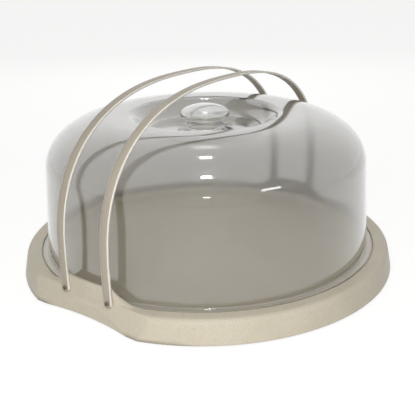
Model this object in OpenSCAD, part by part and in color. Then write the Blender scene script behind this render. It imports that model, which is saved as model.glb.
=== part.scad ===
// Round cake carrier: a shallow tray with two raised lugs, a clear dome that seats in the
// tray's rim, a hollow knob in the dome's sunk centre, and two flat carrying straps that
// arch over the dome and swing on pins in the lugs.
// Each strap is one moulding; it is drawn as six lengths that meet face to face.
// The dome is one moulding too, drawn as its wall and its sunk centre.
// Origin: centre of the foot ring, on the table. +Z up, +X through the lugs, mm.

/* [Tray] */
// Outer radius at the foot of the rim
tray_r = 170; // [166:1:176]
// Height of the rim's flat top above the table
rim_top = 21.5; // [20.5:0.5:23]
// Height of the skirt's lower edge above the table
skirt_z = 2.5; // [1.5:0.5:4]
// Wall thickness of the tray
tray_wall = 2.4; // [2:0.1:2.8]
// Height of the cake floor above the table
floor_top = 13.5; // [12:0.5:14.5]
// Height of the seat under the dome's flange
seat_z = 18.4; // [17.8:0.1:18.8]
// Inner radius of the rim, just outside the dome's flange
lip_r = 153.4; // [153:0.1:154]
// Draft of the rim's outer wall, degrees from upright
rim_draft = 11.5; // [6:0.5:16]
// Radius of the rim's outer top corner
rim_corner = 5; // [3:0.5:6]

/* [Lugs and finger scoops] */
// Half width of a lug's flat top
lug_half = 24; // [22:1:28]
// Length of the ramp from a lug's top down to the rim
lug_ramp = 26; // [20:1:32]
// Height of a lug's top above the table
lug_top = 33.5; // [31:0.5:36]
// Distance of a lug's flat outer face from the centre
lug_face = 155; // [154.8:0.1:155.2]
// Height at which a lug's outer face runs out into the slanted band below it
band_z = 16.8; // [16:0.2:17]
// Slope of that band, degrees from level
band_slope = 69; // [64:1:74]
// Distance of the finger scoop's deepest point from the centre
scoop_x = 156.3; // [156:0.1:158]
// Radius of the scoop's shallow curve, seen from above
scoop_r = 243; // [200:1:300]

/* [Dome] */
// Outer radius at the foot of the wall
dome_foot_r = 147.6; // [146:0.2:148.4]
// Outer radius where the wall turns into the shoulder
dome_top_r = 143.4; // [142:0.2:143.6]
// Height at which the shoulder starts
shoulder_z = 98.5; // [96:0.5:98.5]
// Width of the elliptical shoulder, in from the wall
shoulder_a = 60; // [60:0.5:66]
// Height of the elliptical shoulder
shoulder_b = 41.5; // [39:0.5:41.5]
// Wall thickness of the dome
dome_wall = 2; // [1.6:0.1:2.4]
// Outer radius of the flange
flange_r = 152.4; // [151.8:0.1:152.6]
// Thickness of the flange
flange_t = 2.2; // [1.8:0.1:2.6]
// Radius at which the sunk centre starts
dish_rim_r = 70; // [66:1:72]
// Radius of the sunk centre's floor
dish_floor_r = 48.5; // [44:0.5:52]
// Height of the sunk centre's floor
dish_z = 123.5; // [122:0.5:125]

/* [Knob] */
// Radius of the cap
knob_r = 22; // [20:0.5:24]
// Height of the cap's crown above the table
knob_top = 145.5; // [144:0.5:147]
// Radius of the neck
neck_r = 16.3; // [15:0.1:18]
// Radius of the foot that stands on the dome
knob_foot_r = 25; // [22:0.5:27]
// Wall thickness of the knob
knob_wall = 2; // [1.6:0.1:2.4]

/* [Straps] */
// Distance of each strap's middle from the centre plane
strap_y = 23.6; // [22.8:0.1:24.2]
// Height of the pivot pins above the table
pin_z = 22; // [21.6:0.1:23]
// Width of a strap over its arch
strap_w = 8; // [7:0.5:10]
// Width of a strap at its pins
strap_end_w = 8; // [7.5:0.5:9]
// Thickness of a strap
strap_t = 1.8; // [1.4:0.1:2]
// Height of a strap's crown above its pins, at mid thickness
strap_h = 149.7; // [149.7:0.1:152]
// Height above the pins over which a leg runs straight
leg_h = 26; // [26:1:30]
// Fullness of the arch: 2 is an ellipse, more is squarer
arch_power = 2.53; // [2.53:0.01:2.6]
// Height above the table at which a leg meets the bend over it
leg_top = 84; // [76:1:90]
// Distance from the middle at which a bend meets the crown
bend_x = 83; // [76:1:90]

/* [Pins] */
// Radius of a pin's shank
pin_r = 1.6; // [1.4:0.1:1.8]
// Radius of a pin's head
pin_head_r = 2.7; // [2.4:0.1:3.2]
// Thickness of a pin's head
pin_head_t = 1.2; // [1:0.1:1.6]

/* [Hidden] */
$fn = 96;

tray_color = [0.79, 0.76, 0.68];
strap_color = [0.77, 0.73, 0.62];
clear_color = [0.78, 0.81, 0.80, 0.45];

// Clearances
pin_fit = 0.02;      // pin shank in the lug
swing_fit = 0.07;    // strap bore round the shank
strap_gap = 0.3;     // between a lug's face and the strap
head_gap = 0.2;      // between the strap and a pin's head

// Tray
floor_r = 142;                              // where the floor's cove starts
cove_r = seat_z - floor_top;
lip_round = 1.2;
foot_ring_r = [60, 130];                    // outer radii of the rings that stand on the table
rim_c = tray_r - (rim_top - rim_corner + rim_corner * sin(rim_draft) - skirt_z) * tan(rim_draft)
        - rim_corner * cos(rim_draft);      // radius of the corner's centre
lug_ring_t = 3.4;
lug_root_z = 16.5;
reach = tray_r + 30;                        // past everything, for cutting blocks

// Dome
wall_z = seat_z + flange_t;
foot_round = 1.5;                           // between the flange and the wall
wall_lean = atan((dome_foot_r - dome_top_r) / (shoulder_z - wall_z));
shoulder_a0 = atan(shoulder_b / shoulder_a * tan(wall_lean));
shoulder_c = [dome_top_r - shoulder_a * cos(shoulder_a0), shoulder_z - shoulder_b * sin(shoulder_a0)];
crown_z = shoulder_c[1] + shoulder_b;

// Straps
strap_x = lug_face + strap_gap + strap_t / 2;
arch_steps = 32;
pin_out = strap_x + strap_t / 2 + head_gap; // inner side of a pin's head
dimple_r = 1;
dimple_depth = 0.8;
pin_in = 152;                               // where a shank ends inside the lug

// Points of an ellipse's arc from angle a0 to a1, n steps
function arc(c, rx, rz, a0, a1, n) =
    [for (i = [0 : n]) let (a = a0 + (a1 - a0) * i / n) [c[0] + rx * cos(a), c[1] + rz * sin(a)]];

// Unit normal to the left of a step
function left(p, q) = let (d = q - p) [-d[1], d[0]] / norm(d);

// A path moved to its left by t, keeping its corners
function shifted(path, t) =
    [for (i = [0 : len(path) - 1])
        let (a = left(path[max(i - 1, 0)], path[max(i, 1)]),
             b = left(path[min(i, len(path) - 2)], path[min(i + 1, len(path) - 1)]),
             m = a + b)
        path[i] + m * 2 * t / (m * m)];

function reversed(path) = [for (i = [len(path) - 1 : -1 : 0]) path[i]];

// ---- Tray ----

// Upper side of the tray, from the axis out to the skirt's lower edge
function tray_top_path() = concat(
    [[0, floor_top]],
    arc([floor_r, seat_z], cove_r, cove_r, -90, 0, 8),
    [[lip_r, seat_z]],
    arc([lip_r + lip_round, rim_top - lip_round], lip_round, lip_round, 180, 90, 5),
    arc([rim_c, rim_top - rim_corner], rim_corner, rim_corner, 90, rim_draft, 8),
    [[tray_r, skirt_z]]);

// Underside of the tray, one wall below
function tray_under_path() =
    let (r = cove_r + tray_wall, r_in = rim_corner - tray_wall,
         skirt_in = tray_r - tray_wall / cos(rim_draft),
         below = skirt_z - 1)
    concat(
        [[0, floor_top - tray_wall]],
        arc([floor_r, seat_z], r, r, -90, -asin(tray_wall / r), 8),
        [[lip_r + 0.6, seat_z - tray_wall]],
        [[lip_r + tray_wall + 1.4, rim_top - tray_wall]],
        arc([rim_c, rim_top - rim_corner], r_in, r_in, 90, rim_draft, 6),
        [[skirt_in + tan(rim_draft), below], [0, below]]);

// What is cut away in front of one lug: the slanted band above, the finger scoop below.
// inset moves both inward, for the underside.
module lug_cut(inset) {
    shift = inset / sin(band_slope);
    foot_x = lug_face - shift + (band_z + 5) / tan(band_slope);
    head_x = lug_face - shift - (60 - band_z) / tan(band_slope);
    rotate([90, 0, 0])
        linear_extrude(height = reach, center = true)
            polygon([[foot_x, -5], [reach, -5], [reach, 60], [head_x, 60]]);
    translate([scoop_x + scoop_r, 0, -5])
        cylinder(r = scoop_r + inset, h = 30, $fn = 360);
}

module both_ends() {
    children();
    mirror([1, 0, 0]) children();
}

module tray_outside() {
    difference() {
        rotate_extrude($fn = 360)
            polygon(concat(tray_top_path(), [[0, skirt_z]]));
        both_ends() lug_cut(0);
    }
}

module tray_hollow() {
    difference() {
        rotate_extrude($fn = 360) polygon(tray_under_path());
        both_ends() lug_cut(tray_wall);
    }
}

module ring(r, t, z0, z1) {
    translate([0, 0, z0])
        difference() {
            cylinder(r = r, h = z1 - z0, $fn = 360);
            translate([0, 0, -1]) cylinder(r = r - t, h = z1 - z0 + 2, $fn = 360);
        }
}

// A lug's outline seen from its end: flat top, hollow ramps down to the rim
function lug_outline() =
    let (ramp = [for (i = [0 : 10]) let (s = i / 10)
            [lug_half + lug_ramp * s, rim_top - 0.4 + (lug_top - rim_top + 0.4) * pow(1 - s, 2)]])
    concat(
        [[-lug_half - lug_ramp, lug_root_z]],
        reversed([for (p = ramp) [-p[0], p[1]]]),
        ramp,
        [[lug_half + lug_ramp, lug_root_z]]);

module pin_bores() {
    for (side = [-1, 1])
        translate([lug_face - 10, side * strap_y, pin_z])
            rotate([0, 90, 0]) cylinder(r = pin_r + pin_fit, h = 20);
}

module lug() {
    difference() {
        intersection() {
            ring(lip_r + lug_ring_t, lug_ring_t, lug_root_z, lug_top + 5);
            rotate([90, 0, 90]) linear_extrude(height = lug_face) polygon(lug_outline());
        }
        pin_bores();
    }
}

module tray() {
    color(tray_color) {
        difference() {
            tray_outside();
            tray_hollow();
            both_ends() pin_bores();
        }
        for (r = foot_ring_r) ring(r, tray_wall, 0, floor_top - 1);
        both_ends() lug();
    }
}

// ---- Dome ----

// Outside of the dome from the wall's foot to the rim of the sunk centre
function wall_path() = concat(
    [[dome_foot_r + foot_round, wall_z]],
    arc([dome_foot_r + foot_round - wall_lean / 57, wall_z + foot_round],
        foot_round, foot_round, 258, 186, 4),
    arc(shoulder_c, shoulder_a, shoulder_b, shoulder_a0, 90, 28),
    [[dish_rim_r, crown_z]]);

// On from there: the rounded fall to the sunk floor, and the floor to the axis
function dish_path() = concat(
    [for (i = [1 : 11]) let (s = i / 12)
        [dish_rim_r + (dish_floor_r - dish_rim_r) * s,
         crown_z + (dish_z + 1 - crown_z) * (1 - cos(180 * s)) / 2]],
    [[dish_floor_r, dish_z + 1], [knob_foot_r + 1, dish_z], [0, dish_z]]);

function part_of(path, i, j) = [for (k = [i : j]) path[k]];

outer_path = concat(wall_path(), dish_path());
inner_path = shifted(outer_path, dome_wall);
rim_i = len(wall_path()) - 1;               // the point where wall and sunk centre meet

// Wall, shoulder and flange
module dome() {
    flange = [[inner_path[1][0], seat_z], [flange_r, seat_z], [flange_r, wall_z]];
    color(clear_color)
        rotate_extrude($fn = 360)
            polygon(concat(flange, part_of(outer_path, 1, rim_i), reversed(part_of(inner_path, 2, rim_i))));
}

// The sunk centre that the knob stands in
module dome_centre() {
    last = len(outer_path) - 1;
    color(clear_color)
        rotate_extrude($fn = 360)
            polygon(concat(
                part_of(outer_path, rim_i, last),
                [[0, dish_z - dome_wall]],
                reversed(part_of(inner_path, rim_i, last - 1))));
}

// ---- Knob ----

// Outside of the knob from the crown to the foot's edge
function knob_path() =
    let (brim_z = knob_top - 8.5, neck_z = brim_z - 6)
    concat(
        arc([0, brim_z], knob_r, 8.5, 90, 0, 16),
        arc([knob_r - 4, brim_z], 4, 4, -15, -75, 4),
        arc([neck_r + 2.5, neck_z - 0.5], 2.5, 2.5, 120, 180, 4),
        arc([neck_r + 4, dish_z + 6], 4, 4, 180, 250, 5),
        [[knob_foot_r, dish_z + 1.4], [knob_foot_r, dish_z]]);

module knob() {
    color(clear_color)
        difference() {
            rotate_extrude()
                polygon(concat(knob_path(), [[0, dish_z]]));
            // the hollow, open at the foot
            rotate_extrude()
                polygon(concat(
                    arc([0, knob_top - 8.5], knob_r - knob_wall, 8.5 - knob_wall, 90, 0, 12),
                    [[neck_r - knob_wall, knob_top - 15.5],
                     [neck_r - knob_wall, dish_z - 1],
                     [0, dish_z - 1]]));
        }
}

// ---- Straps ----

// Middle line of a strap's arch from one foot to the crown, x against height above the pins
function half_arch() = concat(
    [[strap_x, -strap_end_w]],
    [for (i = [0 : arch_steps]) let (a = 90 * i / arch_steps)
        [strap_x * pow(cos(a), 2 / arch_power),
         leg_h + (strap_h - leg_h) * pow(sin(a), 2 / arch_power)]]);

function whole_arch() =
    let (half = half_arch())
    concat(half, reversed([for (i = [0 : len(half) - 2]) [-half[i][0], half[i][1]]]));

// A strap's outline seen from the end: a round end at the pins, widening to the arch
module strap_width() {
    circle(d = strap_end_w);
    polygon([[-strap_end_w / 2, 0], [strap_end_w / 2, 0],
             [strap_w / 2, leg_h + 10], [strap_w / 2, strap_h + strap_t],
             [-strap_w / 2, strap_h + strap_t], [-strap_w / 2, leg_h + 10]]);
}

module strap(side) {
    line = whole_arch();
    translate([0, side * strap_y, pin_z])
        difference() {
            intersection() {
                rotate([90, 0, 0])
                    linear_extrude(height = strap_w + 2, center = true)
                        polygon(concat(shifted(line, strap_t / 2),
                                       reversed(shifted(line, -strap_t / 2))));
                rotate([90, 0, 90])
                    linear_extrude(height = 2 * reach, center = true) strap_width();
            }
            rotate([0, 90, 0])
                cylinder(r = pin_r + swing_fit, h = 2 * reach, center = true);
        }
}

// One length of a strap, between two distances from the middle and two heights,
// on the left (end -1) or the right (end 1)
module strap_length(end, side, x0, x1, z0, z1) {
    color(strap_color)
        intersection() {
            strap(side);
            translate([end < 0 ? -x1 : x0, -reach, z0]) cube([x1 - x0, 2 * reach, z1 - z0]);
        }
}

module strap_leg(end, side) { strap_length(end, side, bend_x, reach, 0, leg_top); }
module strap_bend(end, side) { strap_length(end, side, bend_x, reach, leg_top, reach); }
module strap_crown(end, side) { strap_length(end, side, 0, bend_x, leg_top, reach); }

module strap_front_leg_left() { strap_leg(-1, -1); }
module strap_front_bend_left() { strap_bend(-1, -1); }
module strap_front_crown_left() { strap_crown(-1, -1); }
module strap_front_crown_right() { strap_crown(1, -1); }
module strap_front_bend_right() { strap_bend(1, -1); }
module strap_front_leg_right() { strap_leg(1, -1); }
module strap_back_leg_left() { strap_leg(-1, 1); }
module strap_back_bend_left() { strap_bend(-1, 1); }
module strap_back_crown_left() { strap_crown(-1, 1); }
module strap_back_crown_right() { strap_crown(1, 1); }
module strap_back_bend_right() { strap_bend(1, 1); }
module strap_back_leg_right() { strap_leg(1, 1); }

// ---- Pins ----

// A pin with a low domed head, dimpled at its middle, turned about its own axis
module pin(end, side) {
    shank = pin_out - pin_in;
    color(strap_color)
        translate([end * pin_in, side * strap_y, pin_z])
            rotate([0, end * 90, 0])
                difference() {
                    rotate_extrude()
                        polygon(concat(
                            [[0, 0], [pin_r - 0.4, 0], [pin_r, 0.6], [pin_r, shank], [pin_head_r, shank]],
                            arc([0, shank + 0.4], pin_head_r, pin_head_t - 0.4, 0, 90, 8)));
                    translate([0, 0, shank + pin_head_t - dimple_depth])
                        cylinder(r = dimple_r, h = 2 * dimple_depth);
                }
}

module pin_left_front() { pin(-1, -1); }
module pin_left_back() { pin(-1, 1); }
module pin_right_front() { pin(1, -1); }
module pin_right_back() { pin(1, 1); }

tray();
dome();
dome_centre();
knob();
strap_front_leg_left();
strap_front_bend_left();
strap_front_crown_left();
strap_front_crown_right();
strap_front_bend_right();
strap_front_leg_right();
strap_back_leg_left();
strap_back_bend_left();
strap_back_crown_left();
strap_back_crown_right();
strap_back_bend_right();
strap_back_leg_right();
pin_left_front();
pin_left_back();
pin_right_front();
pin_right_back();
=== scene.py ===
"""Round cake carrier: speckled tray, clear dome with a hollow knob, two flat carrying straps."""

import math

import bpy
from mathutils import Matrix, Vector


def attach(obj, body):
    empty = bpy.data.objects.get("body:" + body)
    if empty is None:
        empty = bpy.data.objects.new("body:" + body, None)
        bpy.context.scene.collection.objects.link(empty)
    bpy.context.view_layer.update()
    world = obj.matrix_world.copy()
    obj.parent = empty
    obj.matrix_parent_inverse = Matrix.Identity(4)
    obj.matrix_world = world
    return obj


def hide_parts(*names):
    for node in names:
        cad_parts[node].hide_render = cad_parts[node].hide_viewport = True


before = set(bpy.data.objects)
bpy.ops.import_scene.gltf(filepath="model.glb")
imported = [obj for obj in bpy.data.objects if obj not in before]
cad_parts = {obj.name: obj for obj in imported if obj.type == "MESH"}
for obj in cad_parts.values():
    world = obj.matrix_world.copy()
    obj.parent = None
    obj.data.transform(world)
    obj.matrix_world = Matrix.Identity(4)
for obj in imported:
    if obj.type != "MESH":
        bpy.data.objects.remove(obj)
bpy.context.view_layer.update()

MM = 0.001

# ---- Sizes of the carrier, mm ----

SEAT_Z = 18.4
DOME_FOOT_R = 147.6
DOME_TOP_R = 143.4
SHOULDER_Z = 98.5
SHOULDER_A = 60
SHOULDER_B = 41.5
DOME_WALL = 2
FLANGE_R = 152.4
FLANGE_T = 2.2
DISH_RIM_R = 70
DISH_FLOOR_R = 48.5
DISH_Z = 123.5

KNOB_R = 22
KNOB_TOP = 145.5
KNOB_NECK_R = 16.3
KNOB_FOOT_R = 25
KNOB_CAP_H = 8.5
KNOB_WALL = 2

LUG_FACE = 155
STRAP_Y = 23.6
PIN_Z = 22
STRAP_W = 8
STRAP_END_W = 8
STRAP_T = 1.8
STRAP_X = LUG_FACE + 0.3 + STRAP_T / 2
STRAP_H = 149.7
LEG_H = 26
ARCH_POWER = 2.53
STRAP_BORE_R = 1.67
STRAP_EASE = 0.4

PIN_R = 1.6
PIN_HEAD_R = 2
PIN_DIMPLE_R = 1.1
PIN_DIMPLE_DEPTH = 2.6
PIN_HEAD_T = 1.2
PIN_IN = 152
PIN_OUT = STRAP_X + STRAP_T / 2 + 0.2


# ---- Camera ----


def camera():
    data = bpy.data.cameras.new("camera")
    data.sensor_width = 36
    data.lens = 60.102
    data.shift_x = 0.00203
    data.shift_y = -0.01283
    data.clip_end = 50
    obj = bpy.data.objects.new("camera", data)
    bpy.context.collection.objects.link(obj)
    turn = (
        Matrix.Rotation(math.radians(-52.173), 4, "Z")
        @ Matrix.Rotation(math.radians(90 - 20.123), 4, "X")
        @ Matrix.Rotation(math.radians(-1.172), 4, "Z")
    )
    obj.matrix_world = Matrix.Translation((-0.48094, -0.37342, 0.27542)) @ turn
    bpy.context.scene.camera = obj


# ---- Modelling ----


def deselect():
    if bpy.context.object and bpy.context.object.mode != "OBJECT":
        bpy.ops.object.mode_set(mode="OBJECT")
    bpy.ops.object.select_all(action="DESELECT")


def start(name):
    """A new mesh of one point at the origin, in edit mode."""
    deselect()
    bpy.ops.mesh.primitive_plane_add(size=MM, location=(0, 0, 0))
    obj = bpy.context.object
    obj.name = obj.data.name = name
    bpy.ops.object.mode_set(mode="EDIT")
    bpy.ops.mesh.select_all(action="SELECT")
    bpy.ops.mesh.merge(type="CENTER")
    return obj


def tidy_mesh(obj, angle):
    """Close the seams, turn the faces outwards and smooth all but the sharp edges."""
    bpy.ops.mesh.select_all(action="SELECT")
    bpy.ops.mesh.remove_doubles(threshold=0.008 * MM)
    bpy.ops.mesh.normals_make_consistent(inside=False)
    bpy.ops.object.mode_set(mode="OBJECT")
    bpy.ops.object.shade_smooth_by_angle(angle=math.radians(angle))


def turned(name, outline, steps, centre=(0, 0, 0), along="Z", angle=35):
    """An outline of (radius, height) points in mm, spun round an axis through centre."""
    obj = start(name)
    axis = Vector((0, 0, 1)) if along == "Z" else Vector((1, 0, 0))
    out = Vector((1, 0, 0)) if along == "Z" else Vector((0, 0, 1))
    points = [Vector(centre) * MM + (out * r + axis * h) * MM for r, h in outline]
    bpy.ops.transform.translate(value=points[0])
    for p, q in zip(points, points[1:]):
        bpy.ops.mesh.extrude_vertices_move(TRANSFORM_OT_translate={"value": q - p})
    bpy.ops.mesh.select_all(action="SELECT")
    bpy.ops.mesh.spin(steps=steps, angle=2 * math.pi, center=Vector(centre) * MM, axis=axis)
    tidy_mesh(obj, angle)
    return obj


def modify(obj, kind, **settings):
    """Add a modifier and apply it."""
    deselect()
    obj.select_set(True)
    bpy.context.view_layer.objects.active = obj
    added = obj.modifiers.new(kind.lower(), kind)
    for key, value in settings.items():
        setattr(added, key, value)
    bpy.ops.object.modifier_apply(modifier=added.name)


def arc(centre, rx, rz, a0, a1, n):
    """Points of an ellipse's arc, degrees."""
    turns = [math.radians(a0 + (a1 - a0) * i / n) for i in range(n + 1)]
    return [(centre[0] + rx * math.cos(a), centre[1] + rz * math.sin(a)) for a in turns]


def shifted(path, t):
    """A path moved to its left by t, keeping its corners."""
    points = [Vector(p) for p in path]

    def left(i, j):
        d = (points[j] - points[i]).normalized()
        return Vector((-d.y, d.x))

    moved = []
    last = len(points) - 1
    for i, p in enumerate(points):
        both = left(max(i - 1, 0), max(i, 1)) + left(min(i, last - 1), min(i + 1, last))
        moved.append(tuple(p + both * (2 * t / both.dot(both))))
    return moved


# ---- Dome and knob ----


def dome_outline():
    wall_z = SEAT_Z + FLANGE_T
    lean = math.degrees(math.atan((DOME_FOOT_R - DOME_TOP_R) / (SHOULDER_Z - wall_z)))
    a0 = math.degrees(math.atan(SHOULDER_B / SHOULDER_A * math.tan(math.radians(lean))))
    centre = (
        DOME_TOP_R - SHOULDER_A * math.cos(math.radians(a0)),
        SHOULDER_Z - SHOULDER_B * math.sin(math.radians(a0)),
    )
    crown = centre[1] + SHOULDER_B
    fall = [
        (
            DISH_RIM_R + (DISH_FLOOR_R - DISH_RIM_R) * i / 24,
            crown + (DISH_Z + 1 - crown) * (1 - math.cos(math.pi * i / 24)) / 2,
        )
        for i in range(1, 24)
    ]
    outside = (
        [(DOME_FOOT_R + 1.5, wall_z)]
        + arc((DOME_FOOT_R + 1.5 - lean / 57, wall_z + 1.5), 1.5, 1.5, 258, 186, 6)
        + arc(centre, SHOULDER_A, SHOULDER_B, a0, 90, 48)
        + [(DISH_RIM_R, crown)]
        + fall
        + [(DISH_FLOOR_R, DISH_Z + 1), (KNOB_FOOT_R + 1, DISH_Z), (0, DISH_Z)]
    )
    inside = shifted(outside, DOME_WALL)
    inside[-1] = (0, DISH_Z - DOME_WALL)
    flange = [(FLANGE_R, wall_z), (FLANGE_R, SEAT_Z), (inside[1][0], SEAT_Z)]
    return outside[::-1] + flange + inside[2:]


def knob_outline():
    brim_z = KNOB_TOP - KNOB_CAP_H
    neck_z = brim_z - 6
    outside = (
        arc((0, brim_z), KNOB_R, KNOB_CAP_H, 90, 0, 24)
        + arc((KNOB_R - 4, brim_z), 4, 4, -15, -75, 6)
        + arc((KNOB_NECK_R + 2.5, neck_z - 0.5), 2.5, 2.5, 120, 180, 6)
        + arc((KNOB_NECK_R + 4, DISH_Z + 6), 4, 4, 180, 250, 8)
        + [(KNOB_FOOT_R, DISH_Z + 1.4), (KNOB_FOOT_R, DISH_Z + 0.02)]
    )
    hollow = [(KNOB_NECK_R - KNOB_WALL, DISH_Z + 0.02), (KNOB_NECK_R - KNOB_WALL, KNOB_TOP - 15.5)]
    hollow += arc((0, brim_z), KNOB_R - KNOB_WALL, KNOB_CAP_H - KNOB_WALL, 0, 90, 18)
    return outside + hollow


# ---- Straps and pins ----


def strap_line():
    """Points along a strap from foot to foot: x, height above the pins, width."""
    half = []
    for i in range(1, 9):
        a = math.radians(90 * i / 9)
        half.append((STRAP_X, -STRAP_END_W / 2 * math.cos(a), STRAP_END_W * math.sin(a)))
    half.append((STRAP_X, 0, STRAP_END_W))
    half.append((STRAP_X, LEG_H / 2, None))
    for i in range(49):
        a = math.radians(90 * i / 48)
        x = STRAP_X * math.cos(a) ** (2 / ARCH_POWER) if i < 48 else 0
        half.append((x, LEG_H + (STRAP_H - LEG_H) * math.sin(a) ** (2 / ARCH_POWER), None))
    full = LEG_H + 10
    half = [
        (x, z, STRAP_END_W + (STRAP_W - STRAP_END_W) * min(z / full, 1) if w is None else w)
        for x, z, w in half
    ]
    return half + [(-x, z, w) for x, z, w in half[-2::-1]]


def strap(name, body, side):
    """A flat strip drawn along the arch, given its thickness, bored for its pins and eased."""
    lengths = ("leg_left", "bend_left", "crown_left", "crown_right", "bend_right", "leg_right")
    nodes = [f"strap_{body.split('_')[0]}_{length}" for length in lengths]
    line = strap_line()
    obj = start(name)
    x, z, width = line[0]
    bpy.ops.transform.translate(
        value=(x * MM, (side * STRAP_Y - width / 2) * MM, (PIN_Z + z) * MM)
    )
    bpy.ops.mesh.extrude_vertices_move(TRANSFORM_OT_translate={"value": (0, width * MM, 0)})
    bpy.ops.mesh.select_all(action="SELECT")
    for (x0, z0, w0), (x1, z1, w1) in zip(line, line[1:]):
        bpy.ops.mesh.extrude_edges_move(
            TRANSFORM_OT_translate={"value": ((x1 - x0) * MM, 0, (z1 - z0) * MM)}
        )
        bpy.ops.transform.resize(value=(1, w1 / w0, 1))
    bpy.ops.mesh.select_all(action="SELECT")
    bpy.ops.mesh.normals_make_consistent(inside=False)
    bpy.ops.object.mode_set(mode="OBJECT")
    modify(obj, "SOLIDIFY", thickness=STRAP_T * MM, offset=0, use_even_offset=True)
    deselect()
    bpy.ops.mesh.primitive_cylinder_add(
        vertices=48,
        radius=STRAP_BORE_R * MM,
        depth=0.4,
        location=(0, side * STRAP_Y * MM, PIN_Z * MM),
        rotation=(0, math.pi / 2, 0),
    )
    drill = bpy.context.object
    modify(obj, "BOOLEAN", object=drill, operation="DIFFERENCE", solver="EXACT")
    bpy.data.objects.remove(drill)
    sharp = math.radians(40)
    modify(obj, "BEVEL", width=STRAP_EASE * MM, segments=3, limit_method="ANGLE", angle_limit=sharp)
    bpy.ops.object.mode_set(mode="EDIT")
    tidy_mesh(obj, 40)
    place(obj, body, "strap_plastic", strap_plastic, *nodes)


def pin(name, node, end, side):
    shank = PIN_OUT - PIN_IN
    outline = [(0, 0), (PIN_R - 0.4, 0), (PIN_R, 0.6), (PIN_R, shank), (PIN_HEAD_R, shank)]
    head = arc((0, shank + 0.4), PIN_HEAD_R, PIN_HEAD_T - 0.4, 0, 56, 8)
    top = shank + PIN_HEAD_T
    bottom = top - PIN_DIMPLE_DEPTH
    outline += head + [(PIN_DIMPLE_R, top), (PIN_DIMPLE_R * 0.8, bottom), (0, bottom - 0.1)]
    outline = [(r, end * h) for r, h in outline]
    obj = turned(name, outline, 48, (end * PIN_IN, side * STRAP_Y, PIN_Z), "X")
    place(obj, "base", "pin_plastic", pin_plastic, node)


def place(obj, body, slot, finish, *nodes):
    """Give a finished piece its material and the body it moves with; the slot is not used."""
    obj.data.materials.clear()
    obj.data.materials.append(finish)
    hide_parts(*nodes)
    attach(obj, body)


# ---- Materials ----

# Painted highlight: near white for a strap's long edges, standing in for the bright line of light
# they catch.
EDGE_HIGHLIGHT_PAINT = (250, 246, 236)


class Value:
    """A shader socket that can be used in sums."""

    def __init__(self, finish, socket):
        self.finish, self.socket = finish, socket

    def sum(self, operation, *terms):
        return self.finish.node("ShaderNodeMath", {"operation": operation}, dict(enumerate(terms)))

    def __add__(self, other):
        return self.sum("ADD", self, other)

    def __sub__(self, other):
        return self.sum("SUBTRACT", self, other)

    def __rsub__(self, other):
        return self.sum("SUBTRACT", other, self)

    def __mul__(self, other):
        return self.sum("MULTIPLY", self, other)

    __radd__ = __add__

    def size(self):
        return self.sum("ABSOLUTE", self)

    def over(self, edge, soft):
        """0 below edge, 1 above it, with a soft step."""
        return self.finish.node(
            "ShaderNodeMapRange",
            {"interpolation_type": "SMOOTHSTEP"},
            {"Value": self, "From Min": edge - soft, "From Max": edge + soft},
        )


class Finish:
    """A material, or the world, and the nodes that make it."""

    def __init__(self, owner):
        self.owner = owner
        owner.use_nodes = True
        self.tree = owner.node_tree
        self.tree.nodes.clear()

    def node(self, kind, settings=(), inputs=(), out=0):
        made = self.tree.nodes.new(kind)
        for key, value in dict(settings).items():
            setattr(made, key, value)
        for key, value in dict(inputs).items():
            if isinstance(value, Value):
                self.tree.links.new(value.socket, made.inputs[key])
            else:
                made.inputs[key].default_value = value
        return Value(self, made.outputs[out])

    def mix(self, share, a, b):
        """A blend of two colours, or a colour and a link."""
        return self.node("ShaderNodeMix", {"data_type": "RGBA"}, {0: share, 6: a, 7: b}, 2)

    def noise(self, scale, detail):
        place_at = self.node("ShaderNodeTexCoord", out="Object")
        inputs = {"Vector": place_at, "Scale": scale, "Detail": detail}
        return self.node("ShaderNodeTexNoise", (), inputs)

    def surface(self, shader):
        of = "World" if isinstance(self.owner, bpy.types.World) else "Material"
        made = self.tree.nodes.new(f"ShaderNodeOutput{of}")
        self.tree.links.new(shader.socket, made.inputs["Surface"])
        return self.owner


def colour(r, g, b):
    """An sRGB colour, 0 to 255, as the linear colour that a shader takes."""
    shares = [c / 255 for c in (r, g, b)]
    return tuple(c / 12.92 if c <= 0.04045 else ((c + 0.055) / 1.055) ** 2.4 for c in shares)


def moulded(name, light, dark, speck, rough, specks, painted_edge_highlight=False):
    """Speckled moulded plastic with a faint orange-peel skin, and on straps a painted highlight
    along both long edges.
    """
    m = Finish(bpy.data.materials.new(name))
    cloud = m.noise(26, 3)
    tone = m.mix(cloud.over(0.5, 0.25), (*colour(*light), 1), (*colour(*dark), 1))
    grain = m.noise(900, 1)
    dots = m.noise(1500, 0).over(0.64, 0.03) * specks
    tone = m.mix(dots, tone, (*colour(*speck), 1))
    roughness = rough + (grain - 0.5) * 0.16 + (cloud - 0.5) * 0.1
    at = m.node("ShaderNodeTexCoord", out="Object")
    x, y, z = (m.node("ShaderNodeSeparateXYZ", (), {0: at}, axis) for axis in range(3))
    wide = x.size().over(0.144, 0.006) * y.size().over(0.04, 0.008) * (1 - z.over(0.019, 0.003))
    # Painted highlight: both long edges of a strap are painted near white, standing in for the
    # light caught along them.
    if painted_edge_highlight:
        edge_highlight_mask = (y.size() - STRAP_Y * MM).size().over(0.0035, 0.0003)
        tone = m.mix(edge_highlight_mask, tone, (*colour(*EDGE_HIGHLIGHT_PAINT), 1))
    crest = z.over(0.026, 0.003)
    radius = 1.1 * MM + wide * (5 * MM) + crest * (1.4 * MM)
    eased = m.node("ShaderNodeBevel", {"samples": 8}, {"Radius": radius})
    skin = m.node(
        "ShaderNodeBump",
        (),
        {"Strength": 0.18, "Distance": 0.00012, "Height": grain, "Normal": eased},
    )
    shader = m.node(
        "ShaderNodeBsdfPrincipled",
        (),
        {"Base Color": tone, "Roughness": roughness, "Normal": skin, "IOR": 1.48},
    )
    return m.surface(shader)


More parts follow.
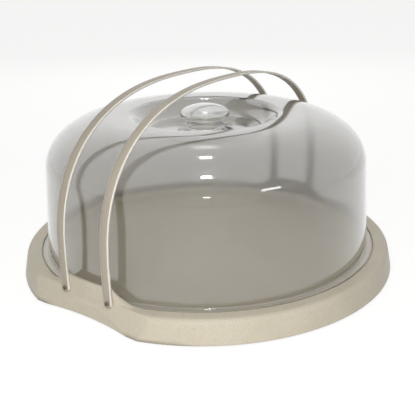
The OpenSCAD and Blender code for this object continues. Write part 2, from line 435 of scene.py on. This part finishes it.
def clear(name, tint, haze):
    """Clear plastic, hazy under a glossy skin, that lets the lamps through to what it covers."""
    m = Finish(bpy.data.materials.new(name))
    scuffs = m.noise(60, 4).over(0.62, 0.1)
    roughness = haze + scuffs * 0.03
    waves = m.noise(38, 2)
    skin = m.node("ShaderNodeBump", (), {"Strength": 0.08, "Distance": 0.0004, "Height": waves})
    glass = m.node(
        "ShaderNodeBsdfPrincipled",
        (),
        {
            "Base Color": (*tint, 1),
            "Roughness": roughness,
            "Transmission Weight": 0.98,
            "IOR": 1.5,
            "Coat Weight": 1,
            "Coat Roughness": 0.015,
            "Coat IOR": 1.55,
            "Normal": skin,
        },
    )
    gap = m.node("ShaderNodeBsdfTransparent", (), {"Color": (0.86, 0.865, 0.86, 1)})
    shadow = m.node("ShaderNodeLightPath", out="Is Shadow Ray")
    return m.surface(m.node("ShaderNodeMixShader", (), {0: shadow, 1: glass, 2: gap}))


# ---- Studio ----

LAMP_AIM = Vector((0, 0, 0.07))
FLASH_TINT = (1, 0.99, 0.97)


def studio():
    """A pale floor and room, white to the camera and to the clear plastic alike."""
    world = bpy.data.worlds.new("studio")
    bpy.context.scene.world = world
    w = Finish(world)
    path = rays(w)
    soft = w.node("ShaderNodeBackground", (), {"Color": (1.0, 0.98, 0.95, 1), "Strength": 0.26})
    white = w.node("ShaderNodeBackground", (), {"Color": (1, 1, 1, 1), "Strength": 1})
    shader = w.node("ShaderNodeMixShader", (), {0: path, 1: soft, 2: white})
    w.surface(shader)

    deselect()
    bpy.ops.mesh.primitive_circle_add(vertices=64, radius=6, fill_type="NGON", location=(0, 0, 0))
    floor = bpy.context.object
    floor.name = "floor"
    f = Finish(bpy.data.materials.new("floor"))
    path = rays(f)
    paper = f.node("ShaderNodeBsdfDiffuse", (), {"Color": (0.86, 0.86, 0.85, 1)})
    white = f.node("ShaderNodeEmission", (), {"Color": (1, 1, 1, 1), "Strength": 1.2})
    shader = f.node("ShaderNodeMixShader", (), {0: path * 0.7, 1: paper, 2: white})
    floor.data.materials.append(f.surface(shader))


def rays(finish):
    """1 for what is seen straight, in a mirror image or through clear plastic, else 0."""
    kinds = ("Camera", "Glossy", "Transmission")
    camera, glossy, through = (
        finish.node("ShaderNodeLightPath", out=f"Is {kind} Ray") for kind in kinds
    )
    return camera.sum("MAXIMUM", camera.sum("MAXIMUM", camera, glossy), through)


def lamp(name, azimuth, elevation, distance, size, power, glossy, tint=(1, 1, 1)):
    """A soft lamp aimed at the carrier, size wide and tall. Azimuth 0 stands at -Y, 90 at +X."""
    data = bpy.data.lights.new(name, "AREA")
    data.shape = "RECTANGLE"
    data.size, data.size_y = size
    data.energy = power
    data.color = tint
    obj = bpy.data.objects.new(name, data)
    bpy.context.collection.objects.link(obj)
    a, e = math.radians(azimuth), math.radians(elevation)
    away = Vector((math.sin(a) * math.cos(e), -math.cos(a) * math.cos(e), math.sin(e)))
    obj.location = LAMP_AIM + away * distance
    obj.rotation_euler = away.to_track_quat("Z", "Y").to_euler()
    obj.visible_camera = False
    obj.visible_glossy = obj.visible_transmission = glossy


# ---- Build ----

camera()
tray_plastic = moulded(
    "tray_plastic", (216, 208, 190), (210, 202, 183), (172, 161, 140), 0.42, 0.38
)
# The straps get the painted highlight along their long edges.
strap_plastic = moulded(
    "strap_plastic", (184, 175, 160), (178, 169, 154), (152, 141, 124), 0.42, 0.25, painted_edge_highlight=True
)
pin_plastic = moulded("pin_plastic", (132, 123, 106), (122, 113, 97), (96, 88, 74), 0.42, 0.25)
# The dome's tint of 0.58 is darker than its clear plastic: painted shade standing in for the darker
# surroundings seen through it.
clear_plastic = clear("clear_plastic", (0.58, 0.57, 0.55), 0.09)
knob_plastic = clear("knob_plastic", (0.97, 0.975, 0.97), 0.13)

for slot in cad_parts["tray"].material_slots:
    slot.material = tray_plastic

shell = turned("dome_shell", dome_outline(), 256)
place(shell, "lid", "clear_plastic", clear_plastic, "dome", "dome_centre")
place(turned("lid_knob", knob_outline(), 128), "lid", "clear_plastic", knob_plastic, "knob")
strap("carrying_strap_front", "front_strap", -1)
strap("carrying_strap_back", "back_strap", 1)
for end, end_name in ((-1, "left"), (1, "right")):
    for side, side_name in ((-1, "front"), (1, "back")):
        pin(f"pivot_{end_name}_{side_name}", f"pin_{end_name}_{side_name}", end, side)

studio()
lamp("flash", -57, 24, 0.62, (0.2, 0.2), 1.56, False, FLASH_TINT)
lamp("fill", 128, 28, 1.2, (0.7, 0.5), 2.4, False, FLASH_TINT)
lamp("flash_spark", -52.2, 21, 0.62, (0.03, 0.015), 0.1, True)
lamp("ceiling_spark", -52.2, 66, 1.2, (0.1, 0.1), 0.9, True)
lamp("ceiling_spark_far", 128, 75, 1.2, (0.08, 0.08), 0.4, True)
lamp("window", -8, 27, 1.5, (0.33, 0.11), 0.75, True)

bpy.context.scene.view_settings.view_transform = "Standard"
